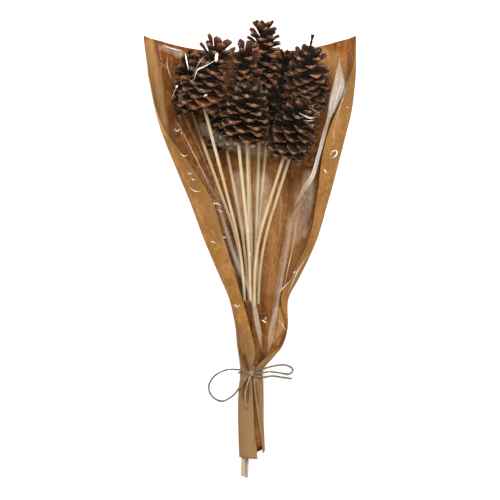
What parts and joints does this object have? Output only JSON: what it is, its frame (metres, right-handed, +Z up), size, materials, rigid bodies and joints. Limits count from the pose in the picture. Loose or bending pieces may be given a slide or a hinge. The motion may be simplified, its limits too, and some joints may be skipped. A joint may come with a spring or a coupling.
{
  "type": "pine cone bouquet",
  "caption": "Open pine cones on thin cane sticks, gathered in a kraft paper wrap with a clear film front and tied at the neck with a twine bow, lying on its back.",
  "frame": {"origin": "under the middle of the bouquet's box, without its bow, on the surface that its back lies on", "axes": "+Y from the stick ends towards the cones, +Z up, away from the surface and out of the clear front, +X to the right seen from above"},
  "size_m": [0.2119, 0.4592, 0.127],
  "materials": {
    "cone_scales": "dark brown woody scales with tan rims, dry and matt",
    "cane_stick": "pale straw split cane, smooth",
    "kraft_paper": "golden brown kraft paper, matt, lightly creased",
    "clear_film": "clear glossy wrapping film with creases",
    "twine": "grey-brown twisted jute twine"
  },
  "bodies": {
    "root": {"kraft_wrap": "kraft_paper", "film_front": "clear_film", "pine_cone_front_left": "cone_scales", "pine_cone_back_left": "cone_scales", "pine_cone_centre": "cone_scales", "pine_cone_front_centre": "cone_scales", "pine_cone_tall": "cone_scales", "pine_cone_back_centre": "cone_scales", "pine_cone_upper_right": "cone_scales", "pine_cone_front_right": "cone_scales", "pine_cone_back_right": "cone_scales", "pine_cone_low_left": "cone_scales", "stick_front_left": "cane_stick", "stick_back_left": "cane_stick", "stick_centre": "cane_stick", "stick_front_centre": "cane_stick", "stick_tall": "cane_stick", "stick_back_centre": "cane_stick", "stick_upper_right": "cane_stick", "stick_front_right": "cane_stick", "stick_back_right": "cane_stick", "stick_low_left": "cane_stick", "twine_tie": "twine", "twine_loop_left": "twine", "twine_loop_right": "twine", "twine_tail_left": "twine", "twine_tail_right": "twine"}
  },
  "joints": []
}
